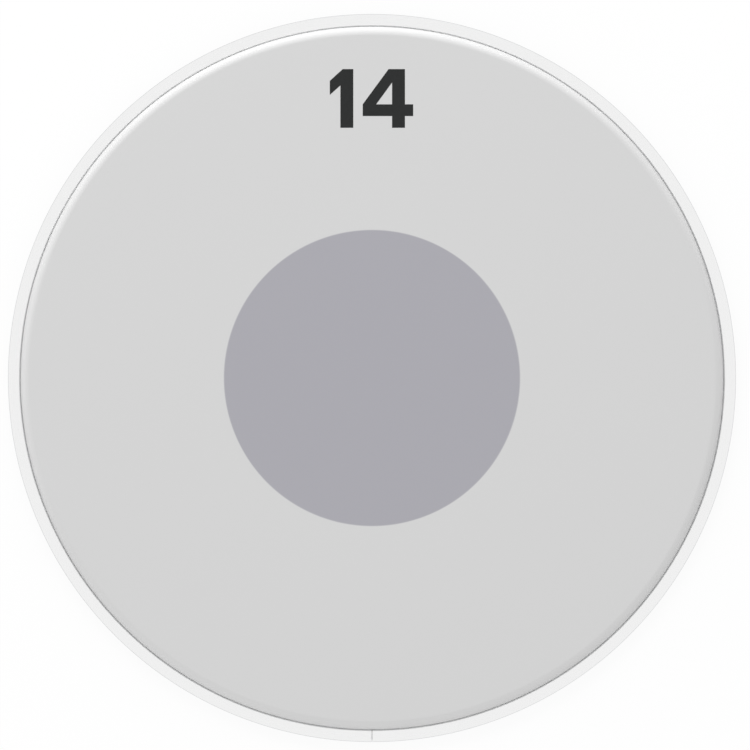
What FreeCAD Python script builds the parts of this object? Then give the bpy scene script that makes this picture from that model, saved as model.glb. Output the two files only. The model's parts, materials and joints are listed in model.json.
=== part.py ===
import FreeCAD, Part
import math
import os

# Drum head for a 14 inch drum, lying on its hoop with the playing face up.
# A formed polyester film is cast with resin into a rolled aluminium channel, the flesh hoop,
# and a round damping patch is laminated to the middle of the film's underside.
# Origin: centre of the hoop's foot. +Z is the playing side and -Y points at the hoop's seam.
# All sizes are in millimetres and all angles in degrees.

# Drum that the head fits over
nominal_diameter = 355.6
shell_clearance = 2.05

# Film: a flat playing face, a rounded shoulder, a leaning collar, a straight stretch inside
# the hoop, a fold round the hoop's inner leg and a perforated skirt that stands in the resin
film_thickness = 0.25
head_height = 16.0
shoulder_radius = 4.1
collar_lean = 14.8
collar_bend_radius = 6.0
collar_straight_height = 7.15
skirt_hole_diameter = 2.4
skirt_hole_count = 120

# Flesh hoop: a channel with a closed crown, open below, its inner leg shorter than its outer one.
# The crown's outer corner is rounded and its inner corner is bevelled.
hoop_width = 6.3
hoop_height = 9.5
hoop_wall = 1.0
crown_corner_radius = 0.5
crown_bevel_width = 0.6
crown_bevel_height = 0.4
seam_gap = 0.2

# Joiner: an angle strip inside the channel that bridges the butted ends of the hoop
joiner_length = 30.0
joiner_thickness = 0.8

# Damping patch and the adhesive that holds it under the film
dot_diameter = 151.2
dot_thickness = 0.13
dot_adhesive_thickness = 0.05

# Clearances: film to inner leg, inner leg to skirt, skirt edge to joiner,
# lowest film to foot, and joiner to inner leg
film_leg_gap = 0.1
leg_skirt_gap = 0.5
skirt_cover = 0.7
fold_foot_gap = 0.9
joiner_leg_gap = 0.4

# Radii, from the drum outwards
bore_radius = nominal_diameter / 2 + shell_clearance
collar_radius = bore_radius + film_thickness / 2
hoop_inner_radius = bore_radius + film_thickness + film_leg_gap
leg_outer_radius = hoop_inner_radius + hoop_wall
skirt_radius = leg_outer_radius + leg_skirt_gap + film_thickness / 2
hoop_outer_radius = hoop_inner_radius + hoop_width
channel_outer_radius = hoop_outer_radius - hoop_wall

# Heights above the foot
fold_radius = (skirt_radius - collar_radius) / 2
inner_leg_foot = fold_foot_gap + film_thickness / 2 + fold_radius
collar_lean_start = inner_leg_foot + collar_straight_height
channel_roof = hoop_height - hoop_wall
joiner_underside = channel_roof - joiner_thickness
skirt_top = joiner_underside - skirt_cover
playing_face_middle = head_height - film_thickness / 2
adhesive_underside = head_height - film_thickness - dot_adhesive_thickness
dot_underside = adhesive_underside - dot_thickness

AXIS_POINT = FreeCAD.Vector(0, 0, 0)
AXIS = FreeCAD.Vector(0, 0, 1)
SEAM_ANGLE = -90.0
SHORTEST_EDGE = 1e-6


def rounded_outline(corners):
    """Closed outline in the radius-height plane through corners of (radius, height, corner radius)."""
    points = [FreeCAD.Vector(r, 0, z) for r, z, _ in corners]
    edges = []
    starts, ends, arcs = [], [], []
    for i, (corner, (_, _, rounding)) in enumerate(zip(points, corners)):
        way_in = (corner - points[i - 1]).normalize()
        way_out = (points[(i + 1) % len(points)] - corner).normalize()
        if rounding == 0:
            starts.append(corner)
            ends.append(corner)
            arcs.append(None)
            continue
        half_turn = way_in.getAngle(way_out) / 2
        reach = rounding * math.tan(half_turn)
        inward = (way_out - way_in).normalize()
        middle = corner + inward * (rounding / math.cos(half_turn) - rounding)
        starts.append(corner - way_in * reach)
        ends.append(corner + way_out * reach)
        arcs.append(Part.Arc(starts[-1], middle, ends[-1]).toShape())
    for i, arc in enumerate(arcs):
        if ends[i - 1].distanceToPoint(starts[i]) > SHORTEST_EDGE:
            edges.append(Part.LineSegment(ends[i - 1], starts[i]).toShape())
        if arc is not None:
            edges.append(arc)
    return Part.Wire(edges)


def turned(corners, angle=360.0):
    """Solid made by turning an outline about the axis, from the radius-height plane by an angle."""
    return Part.Face(rounded_outline(corners)).revolve(AXIS_POINT, AXIS, angle)


def sheet_corners(path, thickness):
    """Corners of a sheet that follows a path of (radius, height, bend radius at mid-thickness)."""
    points = [FreeCAD.Vector(r, 0, z) for r, z, _ in path]
    ways = [(b - a).normalize() for a, b in zip(points, points[1:])]
    left_of = [FreeCAD.Vector(-way.z, 0, way.x) for way in ways]
    sides = []
    for offset in (thickness / 2, -thickness / 2):
        side = []
        for i, (point, (_, _, bend)) in enumerate(zip(points, path)):
            before = left_of[max(i - 1, 0)]
            after = left_of[min(i, len(left_of) - 1)]
            mitre = (before + after) * (offset / (1 + before.dot(after)))
            turns_left = before.z * after.x - before.x * after.z < 0
            face_bend = bend - offset if turns_left else bend + offset
            corner = point + mitre
            side.append((corner.x, corner.z, face_bend if bend else 0))
        sides.append(side)
    return sides[0] + sides[1][::-1]


def head_film():
    """Film with its formed collar, folded round the hoop's inner leg, and its row of resin holes."""
    lean = math.tan(math.radians(collar_lean))
    shoulder_corner = collar_radius - (playing_face_middle - collar_lean_start) * lean
    fold_bottom = inner_leg_foot - fold_radius
    path = [
        (0, playing_face_middle, 0),
        (shoulder_corner, playing_face_middle, shoulder_radius),
        (collar_radius, collar_lean_start, collar_bend_radius),
        (collar_radius, fold_bottom, fold_radius),
        (skirt_radius, fold_bottom, fold_radius),
        (skirt_radius, skirt_top, 0),
    ]
    return turned(sheet_corners(path, film_thickness)).cut(skirt_holes())


def skirt_holes():
    """Drills for the holes that let the resin run through the skirt, on the skirt's mid-height."""
    height = (inner_leg_foot + skirt_top) / 2
    drills = []
    for i in range(skirt_hole_count):
        turn = 2 * math.pi * (i + 0.5) / skirt_hole_count
        outward = FreeCAD.Vector(math.cos(turn), math.sin(turn), 0)
        start = outward * (skirt_radius - film_thickness) + AXIS * height
        drills.append(Part.makeCylinder(skirt_hole_diameter / 2, 2 * film_thickness, start, outward))
    return Part.makeCompound(drills)


def flesh_hoop():
    """Rolled channel whose ends butt at the seam."""
    ring = turned([
        (hoop_inner_radius, inner_leg_foot, 0),
        (leg_outer_radius, inner_leg_foot, 0),
        (leg_outer_radius, channel_roof, 0),
        (channel_outer_radius, channel_roof, 0),
        (channel_outer_radius, 0, 0),
        (hoop_outer_radius, 0, 0),
        (hoop_outer_radius, hoop_height, crown_corner_radius),
        (hoop_inner_radius + crown_bevel_width, hoop_height, 0),
        (hoop_inner_radius, hoop_height - crown_bevel_height, 0),
    ])
    saw = Part.makeBox(hoop_outer_radius, seam_gap, hoop_height, FreeCAD.Vector(0, -seam_gap / 2, 0))
    saw.rotate(AXIS_POINT, AXIS, SEAM_ANGLE)
    return ring.cut(saw)


def hoop_joiner():
    """Angle strip under the crown and along the outer leg, half of it on each side of the seam."""
    angle = math.degrees(joiner_length / channel_outer_radius)
    strip = turned([
        (leg_outer_radius + joiner_leg_gap, channel_roof, 0),
        (leg_outer_radius + joiner_leg_gap, joiner_underside, 0),
        (channel_outer_radius - joiner_thickness, joiner_underside, 0),
        (channel_outer_radius - joiner_thickness, inner_leg_foot, 0),
        (channel_outer_radius, inner_leg_foot, 0),
        (channel_outer_radius, channel_roof, 0),
    ], angle)
    strip.rotate(AXIS_POINT, AXIS, SEAM_ANGLE - angle / 2)
    return strip


def hoop_resin(film, joiner):
    """Resin cast into the channel, round the skirt, through its holes and round the joiner."""
    fill = turned([
        (leg_outer_radius, inner_leg_foot, 0),
        (channel_outer_radius, inner_leg_foot, 0),
        (channel_outer_radius, channel_roof, 0),
        (leg_outer_radius, channel_roof, 0),
    ])
    return fill.cut(film).cut(joiner)


def disc(diameter, thickness, height):
    """Round sheet lying level, with its underside at a height."""
    return Part.makeCylinder(diameter / 2, thickness, FreeCAD.Vector(0, 0, height))


film = head_film()
joiner = hoop_joiner()
pieces = {
    "head_film": film,
    "flesh_hoop": flesh_hoop(),
    "hoop_joiner": joiner,
    "hoop_resin": hoop_resin(film, joiner),
    "dot_adhesive": disc(dot_diameter, dot_adhesive_thickness, adhesive_underside),
    "centre_dot": disc(dot_diameter, dot_thickness, dot_underside),
}

os.makedirs("parts", exist_ok=True)
for name, piece in pieces.items():
    piece.exportStep(f"parts/{name}.step")
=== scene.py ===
import json

import bmesh
import bpy
import numpy as np
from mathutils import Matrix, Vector


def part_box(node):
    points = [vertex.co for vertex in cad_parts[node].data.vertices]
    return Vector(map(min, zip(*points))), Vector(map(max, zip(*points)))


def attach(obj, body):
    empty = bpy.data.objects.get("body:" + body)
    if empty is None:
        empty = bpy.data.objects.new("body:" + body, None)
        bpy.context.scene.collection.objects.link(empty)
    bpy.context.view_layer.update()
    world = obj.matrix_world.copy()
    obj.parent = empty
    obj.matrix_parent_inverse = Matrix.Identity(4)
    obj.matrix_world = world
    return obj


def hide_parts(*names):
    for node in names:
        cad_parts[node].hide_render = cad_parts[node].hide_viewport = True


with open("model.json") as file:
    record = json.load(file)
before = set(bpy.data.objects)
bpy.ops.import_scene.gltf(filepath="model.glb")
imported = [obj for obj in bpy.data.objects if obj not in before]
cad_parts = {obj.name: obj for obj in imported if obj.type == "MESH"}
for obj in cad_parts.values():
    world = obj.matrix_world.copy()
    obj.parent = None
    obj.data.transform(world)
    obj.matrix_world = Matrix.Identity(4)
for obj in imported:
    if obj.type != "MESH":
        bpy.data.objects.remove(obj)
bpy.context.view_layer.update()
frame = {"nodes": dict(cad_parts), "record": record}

# Flesh hoop
# A bright aluminium channel, drawn straight, rolled into a ring and butted at the seam on the -Y side.
# Its closed crown, bevelled beside the film, takes the push of the counterhoop, and its open underside is
# cast full of resin.
mm = 0.001
mounts = {mount["name"]: mount for mount in frame["record"]["mounts"]}
hoop_outer = mounts["hoop_outside"]["dims"]["r_mm"] * mm
hoop_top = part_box("flesh_hoop")[1].z
inner_leg_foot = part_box("hoop_resin")[0].z
crown_width = 6.3 * mm
hoop_wall = 1.0 * mm
hoop_inner = hoop_outer - crown_width
leg_outer = hoop_inner + hoop_wall
channel_outer = hoop_outer - hoop_wall
channel_roof = hoop_top - hoop_wall
outer_rounding = 0.5 * mm
bevel_width = 0.6 * mm
bevel_height = 0.4 * mm
bevel_rounding = 0.3 * mm
edge_rounding = 0.15 * mm
seam_gap = 0.2 * mm
seam_easing = 0.12 * mm
seam_turn = -np.pi / 2
easing_rings = 5
ring_step = np.radians(1.0)
arc_points = 9
same_place = 1e-5 * mm
merge_distance = 1e-4 * mm
sharp_angle = np.radians(35)


def rounded(corners, longest_run):
    """Closed outline through corners of (radius, height, rounding): each corner becomes an arc tangent to
    its two sides, and each straight run between arcs is cut evenly into lengths of at most longest_run.
    A corner without rounding stays one point."""
    corners = np.array(corners, float)
    points, rounding = corners[:, :2], corners[:, 2:]
    way_in = points - np.roll(points, 1, 0)
    way_in /= np.linalg.norm(way_in, axis=1, keepdims=True)
    way_out = np.roll(way_in, -1, 0)
    crossed = way_in[:, 0] * way_out[:, 1] - way_in[:, 1] * way_out[:, 0]
    turn = np.arctan2(crossed, (way_in * way_out).sum(1))[:, None]
    left = np.stack([-way_in[:, 1], way_in[:, 0]], 1)
    start = points - way_in * rounding * np.tan(np.abs(turn) / 2)
    centre = start + left * rounding * np.sign(turn)
    swept = (np.abs(turn) * np.linspace(0, 1, arc_points))[..., None]
    spoke = (start - centre)[:, None]
    arcs = centre[:, None] + spoke * np.cos(swept) + (way_in * rounding)[:, None] * np.sin(swept)
    stretches = []
    for arc, following in zip(arcs, np.roll(arcs, -1, 0)):
        run = following[0] - arc[-1]
        cuts = max(1, int(np.ceil(np.linalg.norm(run) / longest_run)))
        stretches += [arc, arc[-1] + np.linspace(0, 1, cuts + 1)[1:-1, None] * run]
    outline = np.concatenate(stretches)
    moves_on = np.linalg.norm(np.roll(outline, -1, 0) - outline, axis=1) > same_place
    return outline[moves_on]


def turned(outline, turns, insets=0.0):
    """Rings of a surface of revolution: the outline's (radius, height) at each turn gives the point
    (radius cos turn, radius sin turn, height). A ring's inset first moves its outline that far inwards."""
    tangent = np.roll(outline, -1, 0) - np.roll(outline, 1, 0)
    inward = np.stack([-tangent[:, 1], tangent[:, 0]], 1) / np.linalg.norm(tangent, axis=1, keepdims=True)
    section = outline + np.broadcast_to(insets, turns.shape)[:, None, None] * inward
    radius, height = section[..., 0], section[..., 1]
    return np.stack([radius * np.cos(turns)[:, None], radius * np.sin(turns)[:, None], height], -1)


def steps(first, last):
    """Turns from first to last, evenly spaced, about one ring step apart."""
    return np.linspace(first, last, int(np.ceil((last - first) / ring_step)) + 1)


def merge_doubles(mesh):
    """Joins the points of a mesh that lie together, and removes each edge that is left without a face."""
    build = bmesh.new()
    build.from_mesh(mesh)
    bmesh.ops.remove_doubles(build, verts=build.verts, dist=merge_distance)
    bmesh.ops.delete(build, geom=[edge for edge in build.edges if not edge.link_faces], context="EDGES")
    build.to_mesh(mesh)
    build.free()


def add_object(name, data):
    """New object in the scene for a mesh, a lamp or a camera."""
    new_object = bpy.data.objects.new(name, data)
    bpy.context.scene.collection.objects.link(new_object)
    return new_object


def piece_of(name, rings):
    """Mesh object of a surface given as rings of points: quads join each ring to the next, flat caps close
    the ends of a surface whose last ring isn't back at its first, and doubles merge at seams and poles. The
    UV map along_across holds the distance round the ring and the distance round the outline, in metres."""
    count, points = rings.shape[:2]
    ring, point = np.meshgrid(np.arange(count - 1), np.arange(points), indexing="ij")
    ring_at = np.stack([ring, ring + 1, ring + 1, ring], -1)
    point_at = np.stack([point, point, point + 1, point + 1], -1)
    faces = (ring_at * points + point_at % points).reshape(-1, 4).tolist()
    section = np.concatenate([rings[count // 2], rings[count // 2, :1]])
    along = np.append(0, np.linalg.norm(np.diff(rings[:, 0], axis=0), axis=1).cumsum())
    across = np.append(0, np.linalg.norm(np.diff(section, axis=0), axis=1).cumsum())
    uvs = np.stack([along[ring_at], across[point_at]], -1).reshape(-1, 2)
    if not np.allclose(rings[0], rings[-1]):
        faces.append(list(range(points)))
        faces.append(list(range(count * points - 1, (count - 1) * points - 1, -1)))
        uvs = np.append(uvs, np.zeros((2 * points, 2)), 0)
    mesh = bpy.data.meshes.new(name)
    mesh.from_pydata(rings.reshape(-1, 3), [], faces)
    mesh.uv_layers.new(name="along_across").data.foreach_set("uv", uvs.ravel())
    merge_doubles(mesh)
    mesh.shade_smooth()
    mesh.set_sharp_from_angle(angle=sharp_angle)
    piece = add_object(name, mesh)
    piece.modifiers.new("level_faces_lead", "WEIGHTED_NORMAL").keep_sharp = True
    return piece


hoop_outline = rounded([
    (hoop_outer, 0, edge_rounding),
    (hoop_outer, hoop_top, outer_rounding),
    (hoop_inner + bevel_width, hoop_top, bevel_rounding),
    (hoop_inner, hoop_top - bevel_height, edge_rounding),
    (hoop_inner, inner_leg_foot, edge_rounding),
    (leg_outer, inner_leg_foot, edge_rounding),
    (leg_outer, channel_roof, edge_rounding),
    (channel_outer, channel_roof, edge_rounding),
    (channel_outer, 0, edge_rounding),
], longest_run=1.5 * mm)
half_gap = seam_gap / 2 / hoop_outer
quarter = np.linspace(0, np.pi / 2, easing_rings)
eased = seam_easing * (1 - np.cos(quarter)) / hoop_outer
hoop_turns = np.concatenate([
    seam_turn + half_gap + eased[:-1],
    steps(seam_turn + half_gap + eased[-1], seam_turn + 2 * np.pi - half_gap - eased[-1]),
    seam_turn + 2 * np.pi - half_gap - eased[-2::-1],
])
end_insets = seam_easing * (1 - np.sin(quarter))
plain_insets = np.zeros(len(hoop_turns) - 2 * easing_rings)
hoop_insets = np.concatenate([end_insets, plain_insets, end_insets[::-1]])
hoop = piece_of("hoop_channel", turned(hoop_outline, hoop_turns, hoop_insets))


def linear(colour):
    """Linear RGBA of an sRGB hex colour, by the sRGB curve."""
    srgb = np.array([int(colour[i:i + 2], 16) for i in (1, 3, 5)]) / 255
    curve = np.where(srgb <= 0.04045, srgb / 12.92, ((srgb + 0.055) / 1.055) ** 2.4)
    return (*curve, 1.0)


def add_node(tree, kind, inputs, **settings):
    """Adds a node with its settings, and links each input to the socket or sets it to the value given."""
    node = tree.nodes.new("ShaderNode" + kind)
    for name, value in settings.items():
        setattr(node, name, value)
    for name, value in inputs.items():
        if isinstance(value, bpy.types.NodeSocket):
            tree.links.new(value, node.inputs[name])
        else:
            node.inputs[name].default_value = value
    return node


def new_material(name):
    """An empty material and its node tree."""
    material = bpy.data.materials.new(name)
    material.use_nodes = True
    material.node_tree.nodes.clear()
    return material, material.node_tree


def axis_distance(tree, place):
    """Distance of the shaded point from the head's axis: the length of its place without the height."""
    level = add_node(tree, "VectorMath", {
        0: place.outputs["Object"],
        1: (1, 1, 0),
    }, operation="MULTIPLY")
    return add_node(tree, "VectorMath", {0: level.outputs["Vector"]}, operation="LENGTH").outputs["Value"]


# Drawn aluminium, left bright: a soft white metal whose fine lines run round the ring, as it was drawn.
# Real lines are hundredths of a millimetre apart, and these are coarser so that they show. The walls and
# the bevel, which face away from straight up, are painted a darker grey than the crown: painted shade by
# facing. The bevel is dull.
line_spacing = 0.4 * mm
line_length = 60 * mm
bevel_roughness = 0.9
drawn_aluminium, tree = new_material("drawn_aluminium")
drawn = add_node(tree, "UVMap", {}, uv_map="along_across")
stretched = add_node(tree, "Mapping", {
    "Vector": drawn.outputs["UV"],
    "Scale": (1 / line_length, 1 / line_spacing, 1),
})
lines = add_node(tree, "TexNoise", {
    "Vector": stretched.outputs["Vector"],
    "Scale": 1.0,
    "Detail": 4.0,
}, noise_dimensions="2D")
dulled = add_node(tree, "MapRange", {
    "Value": lines.outputs["Fac"],
    "From Min": 0.25,
    "From Max": 0.75,
    "To Min": 0.24,
    "To Max": 0.36,
})
grooves = add_node(tree, "Bump", {
    "Height": lines.outputs["Fac"],
    "Strength": 0.25,
    "Distance": 0.004 * mm,
})
place = add_node(tree, "TexCoord", {})
past_bevel = add_node(tree, "MapRange", {
    "Value": axis_distance(tree, place),
    "From Min": hoop_inner + bevel_width - bevel_rounding / 2,
    "From Max": hoop_inner + bevel_width + bevel_rounding / 2,
}, interpolation_type="SMOOTHSTEP")
finish = add_node(tree, "Mix", {
    "Factor": past_bevel.outputs["Result"],
    "A": bevel_roughness,
    "B": dulled.outputs["Result"],
})
# Painted shade: the colour runs from the crown's white to a darker grey as the surface turns from facing up
# to facing sideways, so the walls and the bevel are darker.
facing = add_node(tree, "SeparateXYZ", {"Vector": place.outputs["Normal"]})
painted_light_facing_up = add_node(tree, "MapRange", {
    "Value": facing.outputs["Z"],
    "From Min": 0.45,
    "From Max": 1.0,
}, interpolation_type="SMOOTHSTEP")
shade = add_node(tree, "Mix", {
    "Factor": painted_light_facing_up.outputs["Result"],
    "A": linear("#B9BBBD"),
    "B": linear("#F0F0F0"),
}, data_type="RGBA")
metal = add_node(tree, "BsdfPrincipled", {
    "Base Color": shade.outputs["Result"],
    "Metallic": 1.0,
    "Roughness": finish.outputs["Result"],
    "Normal": grooves.outputs["Normal"],
})
add_node(tree, "OutputMaterial", {"Surface": metal.outputs["BSDF"]})
hoop.data.materials.append(drawn_aluminium)
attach(hoop, "root")
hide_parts("flesh_hoop")

# Hoop joiner
# A short aluminium angle strip pushed into the channel, half of it on each side of the seam, to line up the
# two ends. The resin holds it, and only its foot shows from below.
joiner = frame["nodes"]["hoop_joiner"]

# Mill-finish aluminium, as rolled: a pale dull grey, clouded in patches of a few millimetres.
mill_patch = 3 * mm
mill_aluminium, tree = new_material("mill_aluminium")
place = add_node(tree, "TexCoord", {})
clouds = add_node(tree, "TexNoise", {
    "Vector": place.outputs["Object"],
    "Scale": 1 / mill_patch,
    "Detail": 3.0,
})
dulled = add_node(tree, "MapRange", {
    "Value": clouds.outputs["Fac"],
    "To Min": 0.35,
    "To Max": 0.6,
})
metal = add_node(tree, "BsdfPrincipled", {
    "Base Color": linear("#D8D9DA"),
    "Metallic": 1.0,
    "Roughness": dulled.outputs["Result"],
})
add_node(tree, "OutputMaterial", {"Surface": metal.outputs["BSDF"]})
joiner.data.materials.clear()
joiner.data.materials.append(mill_aluminium)

# Head film
# One sheet of clear polyester with a sprayed white coat, heat-formed into a flat playing face, a rounded
# shoulder and a leaning collar. Its edge folds round the hoop's inner leg and stands in the resin.
film_thickness = 0.25 * mm
film_leg_gap = 0.02 * mm
leg_skirt_gap = 0.5 * mm
skirt_roof_gap = 1.5 * mm
collar_straight = 7.15 * mm
collar_lean = np.radians(15.4)
collar_bend = 6.0 * mm
shoulder_radius = 4.1 * mm
film_low, film_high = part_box("head_film")
face_middle = film_high.z - film_thickness / 2
collar_radius = hoop_inner - film_leg_gap - film_thickness / 2
collar_lean_start = inner_leg_foot + collar_straight
shoulder_corner = collar_radius - (face_middle - collar_lean_start) * np.tan(collar_lean)
skirt_radius = leg_outer + leg_skirt_gap + film_thickness / 2
skirt_top = channel_roof - skirt_roof_gap
fold_bottom = film_low.z + film_thickness / 2
fold_radius = (skirt_radius - collar_radius) / 2


def sheet(path, thickness):
    """Corners of a sheet along a path of (radius, height, bend) corners: the path moved half a thickness
    to each side along each corner's mitre, its bends tighter on the inside of a turn and wider on the
    outside."""
    path = np.array(path, float)
    points, bend = path[:, :2], path[:, 2]
    way = np.diff(points, axis=0)
    way /= np.linalg.norm(way, axis=1, keepdims=True)
    left = np.stack([-way[:, 1], way[:, 0]], 1)
    before, after = left[[0, *range(len(left))]], left[[*range(len(left)), -1]]
    mitre = (before + after) / (1 + (before * after).sum(1))[:, None]
    turn = np.sign(before[:, 0] * after[:, 1] - before[:, 1] * after[:, 0])
    half = thickness / 2
    sides = [
        np.column_stack([points + side * mitre * half, np.where(bend > 0, bend - side * turn * half, 0)])
        for side in (-1, 1)
    ]
    return np.concatenate([sides[0], sides[1][::-1]])


whole_turn = steps(0, 2 * np.pi)
film_outline = rounded(sheet([
    (0, face_middle, 0),
    (shoulder_corner, face_middle, shoulder_radius),
    (collar_radius, collar_lean_start, collar_bend),
    (collar_radius, fold_bottom, fold_radius),
    (skirt_radius, fold_bottom, fold_radius),
    (skirt_radius, skirt_top, 0),
], film_thickness), longest_run=10 * mm)
film = piece_of("coated_film", turned(film_outline, whole_turn))

# Sprayed white coat on polyester: soft and even, its sheen a little clouded where passes of the spray
# overlapped, with a fine grain that is drawn coarser here so that it shows. The dark patch under the middle
# shows through the coat as a grey disc, its edge a little blurred by the haze. Below, the bare polyester is
# smooth and shiny.
dot_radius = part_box("centre_dot")[1].x
haze = 0.8 * mm
coat_grain = 0.6 * mm
coat_cloud = 25 * mm
bare_roughness = 0.15
coated_polyester, tree = new_material("coated_polyester")
place = add_node(tree, "TexCoord", {})
past_patch = add_node(tree, "MapRange", {
    "Value": axis_distance(tree, place),
    "From Min": dot_radius - haze / 2,
    "From Max": dot_radius + haze / 2,
}, interpolation_type="SMOOTHSTEP")
shade = add_node(tree, "Mix", {
    "Factor": past_patch.outputs["Result"],
    "A": linear("#A8A7AE"),
    "B": linear("#D4D4D4"),
}, data_type="RGBA")
cloud = add_node(tree, "TexNoise", {
    "Vector": place.outputs["Object"],
    "Scale": 1 / coat_cloud,
    "Detail": 3.0,
})
grain = add_node(tree, "TexNoise", {
    "Vector": place.outputs["Object"],
    "Scale": 1 / coat_grain,
    "Detail": 2.0,
})
facing = add_node(tree, "SeparateXYZ", {"Vector": place.outputs["Normal"]})
on_coat = add_node(tree, "MapRange", {
    "Value": facing.outputs["Z"],
    "From Min": -0.05,
    "From Max": 0.05,
})
coat_sheen = add_node(tree, "MapRange", {
    "Value": cloud.outputs["Fac"],
    "From Min": 0.3,
    "From Max": 0.7,
    "To Min": 0.45,
    "To Max": 0.56,
})
sheen = add_node(tree, "Mix", {
    "Factor": on_coat.outputs["Result"],
    "A": bare_roughness,
    "B": coat_sheen.outputs["Result"],
})
tooth = add_node(tree, "Bump", {
    "Height": grain.outputs["Fac"],
    "Strength": 0.12,
    "Distance": 0.02 * mm,
})
coat = add_node(tree, "BsdfPrincipled", {
    "Base Color": shade.outputs["Result"],
    "Roughness": sheen.outputs["Result"],
    "IOR": 1.5,
    "Normal": tooth.outputs["Normal"],
})
add_node(tree, "OutputMaterial", {"Surface": coat.outputs["BSDF"]})
film.data.materials.append(coated_polyester)
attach(film, "root")
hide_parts("head_film")

# Hoop resin
# Epoxy poured into the upturned channel round the film's skirt, where it set with a hollow surface between
# the walls. It grips the skirt and the joiner, and closes the channel.
hollow_rise = 0.45 * mm
hollow_tightness = 1.1
joiner_thickness = 0.8 * mm
joiner_leg_gap = 0.4 * mm
joiner_underside = channel_roof - joiner_thickness
joiner_inner = leg_outer + joiner_leg_gap
joiner_half_turn = np.arcsin(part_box("hoop_joiner")[1].x / channel_outer)
skirt_inner = skirt_radius - film_thickness / 2
skirt_outer = skirt_radius + film_thickness / 2


def resin_section(wall, step):
    """Section of the resin: a slot for the skirt, a round hollow from the skirt to a wall, and a step below
    the roof. The hollow is an arc under two slopes that rise from its edges and meet over its middle: its
    radius is its half width squared over their rise, a little tighter, so that it ends inside the edges.
    Every section has as many points, because no straight run is cut, so one can run on into another."""
    hollow_middle = (skirt_outer + wall) / 2
    half_width = (wall - skirt_outer) / 2
    hollow_radius = half_width ** 2 / hollow_rise / hollow_tightness
    return rounded([
        (leg_outer, inner_leg_foot, 0),
        (skirt_inner, inner_leg_foot, 0),
        (skirt_inner, skirt_top, 0),
        (skirt_outer, skirt_top, 0),
        (skirt_outer, inner_leg_foot, 0),
        (hollow_middle, inner_leg_foot + hollow_rise, hollow_radius),
        (wall, inner_leg_foot, 0),
        (wall, joiner_underside, 0),
        (*step, 0),
        (joiner_inner, channel_roof, 0),
        (leg_outer, channel_roof, 0),
    ], longest_run=np.inf)


free_section = resin_section(channel_outer, (channel_outer, channel_roof))
joined_section = resin_section(channel_outer - joiner_thickness, (joiner_inner, joiner_underside))
joiner_start = seam_turn - joiner_half_turn
joiner_end = seam_turn + joiner_half_turn
resin = piece_of("cast_resin", np.concatenate([
    turned(joined_section, steps(joiner_start, joiner_end)),
    turned(free_section, steps(joiner_end, joiner_start + 2 * np.pi)),
    turned(joined_section, np.array([joiner_start + 2 * np.pi])),
]))

# Cast epoxy: pale amber and glossy, a little deeper in colour where it pooled, finely rippled as it set.
resin_pool = 18 * mm
resin_ripple = 1.5 * mm
cast_epoxy, tree = new_material("cast_epoxy")
place = add_node(tree, "TexCoord", {})
pools = add_node(tree, "TexNoise", {
    "Vector": place.outputs["Object"],
    "Scale": 1 / resin_pool,
    "Detail": 3.0,
})
depth = add_node(tree, "Mix", {
    "Factor": pools.outputs["Fac"],
    "A": linear("#DCCFA8"),
    "B": linear("#BFA56C"),
}, data_type="RGBA")
ripples = add_node(tree, "TexNoise", {
    "Vector": place.outputs["Object"],
    "Scale": 1 / resin_ripple,
    "Detail": 1.0,
})
set_surface = add_node(tree, "Bump", {
    "Height": ripples.outputs["Fac"],
    "Strength": 0.3,
    "Distance": 0.05 * mm,
})
epoxy = add_node(tree, "BsdfPrincipled", {
    "Base Color": depth.outputs["Result"],
    "Roughness": 0.12,
    "IOR": 1.55,
    "Normal": set_surface.outputs["Normal"],
})
add_node(tree, "OutputMaterial", {"Surface": epoxy.outputs["BSDF"]})
resin.data.materials.append(cast_epoxy)
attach(resin, "root")
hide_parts("hoop_resin")

# Dot adhesive
# A thin layer of clear acrylic adhesive that laminates the damping patch to the underside of the film.
# It is a twentieth of a millimetre thick, so only its edge shows.
adhesive = frame["nodes"]["dot_adhesive"]

# Acrylic adhesive: clear over the white film, soft and glossy, with faint cloudy patches.
adhesive_patch = 6 * mm
acrylic_adhesive, tree = new_material("acrylic_adhesive")
place = add_node(tree, "TexCoord", {})
patches = add_node(tree, "TexNoise", {
    "Vector": place.outputs["Object"],
    "Scale": 1 / adhesive_patch,
    "Detail": 2.0,
})
clouded = add_node(tree, "Mix", {
    "Factor": patches.outputs["Fac"],
    "A": linear("#CFCFCB"),
    "B": linear("#DEDEDA"),
}, data_type="RGBA")
gum = add_node(tree, "BsdfPrincipled", {
    "Base Color": clouded.outputs["Result"],
    "Roughness": 0.25,
    "IOR": 1.47,
})
add_node(tree, "OutputMaterial", {"Surface": gum.outputs["BSDF"]})
adhesive.data.materials.clear()
adhesive.data.materials.append(acrylic_adhesive)

# Centre dot
# A round patch die-cut from black polyester film and laminated under the middle of the head, to dry its
# sound. Seen from below it is black, and from above it shows grey through the coat.
dot_low, dot_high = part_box("centre_dot")
dot_edge = 0.03 * mm
dot_outline = rounded([
    (0, dot_low.z, 0),
    (dot_radius, dot_low.z, dot_edge),
    (dot_radius, dot_high.z, dot_edge),
    (0, dot_high.z, 0),
], longest_run=10 * mm)
dot = piece_of("damping_dot", turned(dot_outline, whole_turn))

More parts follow.
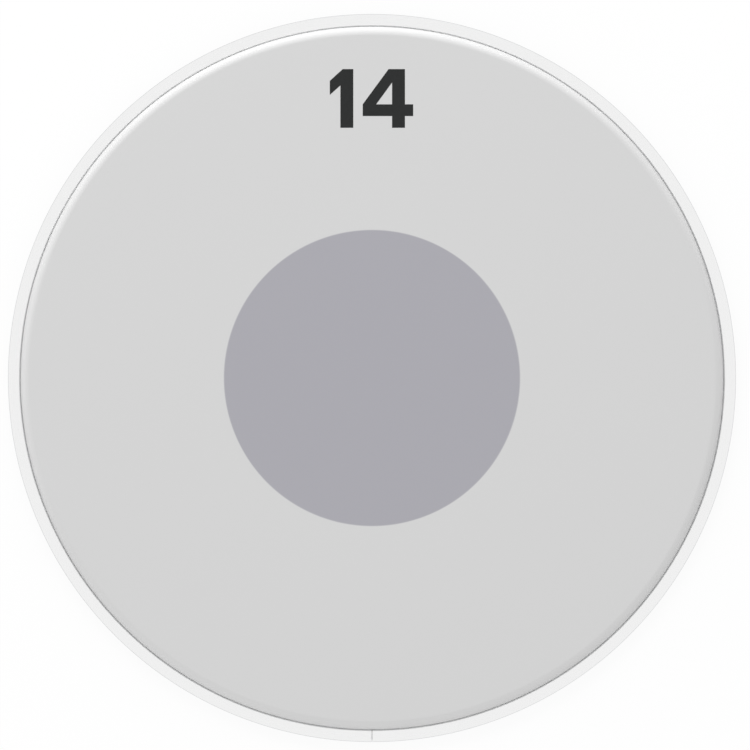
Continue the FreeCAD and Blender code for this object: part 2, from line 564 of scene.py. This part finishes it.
# Black polyester film, calendered: satin, with the faint waves of a laminated sheet and a fine even tooth.
dot_wave = 12 * mm
dot_tooth = 0.8 * mm
black_polyester, tree = new_material("black_polyester")
place = add_node(tree, "TexCoord", {})
tooth_noise = add_node(tree, "TexNoise", {
    "Vector": place.outputs["Object"],
    "Scale": 1 / dot_tooth,
    "Detail": 2.0,
})
wave_noise = add_node(tree, "TexNoise", {
    "Vector": place.outputs["Object"],
    "Scale": 1 / dot_wave,
    "Detail": 2.0,
})
satin = add_node(tree, "MapRange", {
    "Value": tooth_noise.outputs["Fac"],
    "To Min": 0.28,
    "To Max": 0.44,
})
laminated = add_node(tree, "Bump", {
    "Height": wave_noise.outputs["Fac"],
    "Strength": 0.2,
    "Distance": 0.1 * mm,
})
black_film = add_node(tree, "BsdfPrincipled", {
    "Base Color": linear("#1B1B1D"),
    "Roughness": satin.outputs["Result"],
    "IOR": 1.6,
    "Normal": laminated.outputs["Normal"],
})
add_node(tree, "OutputMaterial", {"Surface": black_film.outputs["BSDF"]})
dot.data.materials.append(black_polyester)
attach(dot, "root")
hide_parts("centre_dot")

# Size number
# The head's size in inches, screen-printed in dark ink on the coat near the top of the face.
# Each digit is a few flat patches that meet edge to edge, drawn one high and thickened by the ink's layer.
number_height = 30 * mm
number_middle = (0.71, 0.5)
number_place = (-0.25 * mm, 142.8 * mm)
ink_thickness = 0.02 * mm
one = [
    [(0.18, 0), (0.40, 0), (0.40, 1), (0.22, 1), (0.18, 0.72)],
    [(0, 0.56), (0.18, 0.72), (0.22, 1), (0, 0.80)],
]
four = [
    [(1.06, 0), (1.28, 0), (1.28, 0.20), (1.06, 0.20)],
    [(1.06, 0.20), (1.28, 0.20), (1.28, 0.40), (1.06, 0.40)],
    [(1.28, 0.20), (1.42, 0.20), (1.42, 0.40), (1.28, 0.40)],
    [(0.79, 0.20), (1.06, 0.20), (1.06, 0.40), (0.79, 0.40)],
    [(0.56, 0.20), (0.79, 0.20), (0.79, 0.40), (0.56, 0.40)],
    [(0.56, 0.40), (0.79, 0.40), (1.06, 0.77), (1.00, 1)],
    [(1.06, 0.40), (1.28, 0.40), (1.28, 1), (1.00, 1), (1.06, 0.77)],
]
digit_patches = one + four
drawn_points = np.concatenate(digit_patches)
flat_points = (drawn_points - number_middle) * number_height + number_place
patch_ends = np.cumsum([len(patch) for patch in digit_patches])
number_mesh = bpy.data.meshes.new("size_number")
number_mesh.from_pydata(
    np.column_stack([flat_points, np.full(len(flat_points), film_high.z)]),
    [],
    [list(range(end - len(patch), end)) for patch, end in zip(digit_patches, patch_ends)],
)
merge_doubles(number_mesh)
number = add_object("size_number", number_mesh)
layer = number.modifiers.new("ink_layer", "SOLIDIFY")
layer.thickness = ink_thickness
layer.offset = 1

# Screen ink: a thin matt near-black layer, a touch thinner and so paler here and there.
ink_patch = 2 * mm
screen_ink, tree = new_material("screen_ink")
place = add_node(tree, "TexCoord", {})
thin_spots = add_node(tree, "TexNoise", {
    "Vector": place.outputs["Object"],
    "Scale": 1 / ink_patch,
    "Detail": 4.0,
})
ink_shade = add_node(tree, "Mix", {
    "Factor": thin_spots.outputs["Fac"],
    "A": linear("#222323"),
    "B": linear("#2B2C2C"),
}, data_type="RGBA")
ink = add_node(tree, "BsdfPrincipled", {
    "Base Color": ink_shade.outputs["Result"],
    "Roughness": 0.6,
    "IOR": 1.5,
    "Specular IOR Level": 0.2,
})
add_node(tree, "OutputMaterial", {"Surface": ink.outputs["BSDF"]})
number.data.materials.append(screen_ink)
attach(number, "root")

# Floor, light and camera
# A white sweep under even light from all round, with a soft box above the top of the face, a long low
# strip lamp behind it and a weak strip at the bottom. The camera looks straight down, as the photograph
# was taken.
floor_reach = 6.0
floor_level = -0.2 * mm
floor_mesh = bpy.data.meshes.new("floor")
floor_mesh.from_pydata([
    (-floor_reach, -floor_reach, floor_level),
    (floor_reach, -floor_reach, floor_level),
    (floor_reach, floor_reach, floor_level),
    (-floor_reach, floor_reach, floor_level),
], [], [(0, 1, 2, 3)])
floor = add_object("floor", floor_mesh)


def seen_rays(tree):
    """One for a ray from the camera, off a glossy surface or through a clear one, and zero for the rest."""
    ray = add_node(tree, "LightPath", {})
    seen = add_node(tree, "Math", {
        0: ray.outputs["Is Camera Ray"],
        1: ray.outputs["Is Glossy Ray"],
    }, operation="MAXIMUM")
    seen_or_through = add_node(tree, "Math", {
        0: seen.outputs["Value"],
        1: ray.outputs["Is Transmission Ray"],
    }, operation="MAXIMUM")
    return seen_or_through.outputs["Value"]


# White sweep: the eye and reflections see it mostly as plain white, so the object's shadow stays faint.
sweep_white = 0.9
white_sweep, tree = new_material("white_sweep")
plain_white = add_node(tree, "Math", {
    0: seen_rays(tree),
    1: sweep_white,
}, operation="MULTIPLY")
paper = add_node(tree, "BsdfDiffuse", {"Color": linear("#FFFFFF")})
glow = add_node(tree, "Emission", {"Color": linear("#FFFFFF"), "Strength": 1.0})
mixed = add_node(tree, "MixShader", {
    "Fac": plain_white.outputs["Value"],
    1: paper.outputs["BSDF"],
    2: glow.outputs["Emission"],
})
add_node(tree, "OutputMaterial", {"Surface": mixed.outputs["Shader"]})
floor.data.materials.append(white_sweep)

# Even light: diffuse rays get the ambient share of the light, and the eye and reflections see white.
ambient = 0.752
world = bpy.data.worlds.new("white_tent")
world.use_nodes = True
tree = world.node_tree
tree.nodes.clear()
strength = add_node(tree, "MapRange", {
    "Value": seen_rays(tree),
    "To Min": ambient,
    "To Max": 1.0,
})
tent = add_node(tree, "Background", {"Color": linear("#FFFFFF"), "Strength": strength.outputs["Result"]})
add_node(tree, "OutputWorld", {"Surface": tent.outputs["Background"]})
bpy.context.scene.world = world


def add_lamp(name, bearing, elevation, distance, share, width, height):
    """Rectangular lamp aimed at the origin from a clock bearing and an elevation in degrees. Its power
    makes the share of the light that falls on the level face: share times pi squared, distance squared,
    over sin elevation. Reflections show the white tent alone, whose white already counts the lamps."""
    bearing, elevation = np.radians(bearing), np.radians(elevation)
    lamp = bpy.data.lights.new(name, "AREA")
    lamp.shape = "RECTANGLE"
    lamp.size, lamp.size_y = width, height
    lamp.energy = share * np.pi ** 2 * distance ** 2 / np.sin(elevation)
    stand = add_object(name, lamp)
    level = np.cos(elevation)
    direction = Vector((np.sin(bearing) * level, np.cos(bearing) * level, np.sin(elevation)))
    stand.location = direction * distance
    stand.rotation_euler = direction.to_track_quat("Z", "Y").to_euler()
    stand.visible_camera = False
    stand.visible_glossy = False


add_lamp("soft_box", bearing=347, elevation=55, distance=2.4, share=0.16, width=1.6, height=0.8)
add_lamp("rear_strip", bearing=347, elevation=5.2, distance=2.4, share=0.075, width=3.4, height=0.44)
add_lamp("front_strip", bearing=203, elevation=16, distance=2.4, share=0.05, width=5.0, height=0.3)

picture_pixels = 750
pixel_at_crown = 0.51236 * mm
face_centre_pixel = (372, 378)
camera_data = bpy.data.cameras.new("camera")
camera_data.lens = 200
camera_data.sensor_width = 36
camera_height = picture_pixels * pixel_at_crown * camera_data.lens / camera_data.sensor_width
camera = add_object("camera", camera_data)
camera.location = (
    (picture_pixels / 2 - face_centre_pixel[0]) * pixel_at_crown,
    (face_centre_pixel[1] - picture_pixels / 2) * pixel_at_crown,
    hoop_top + camera_height,
)
bpy.context.scene.camera = camera
bpy.context.scene.view_settings.view_transform = "Standard"
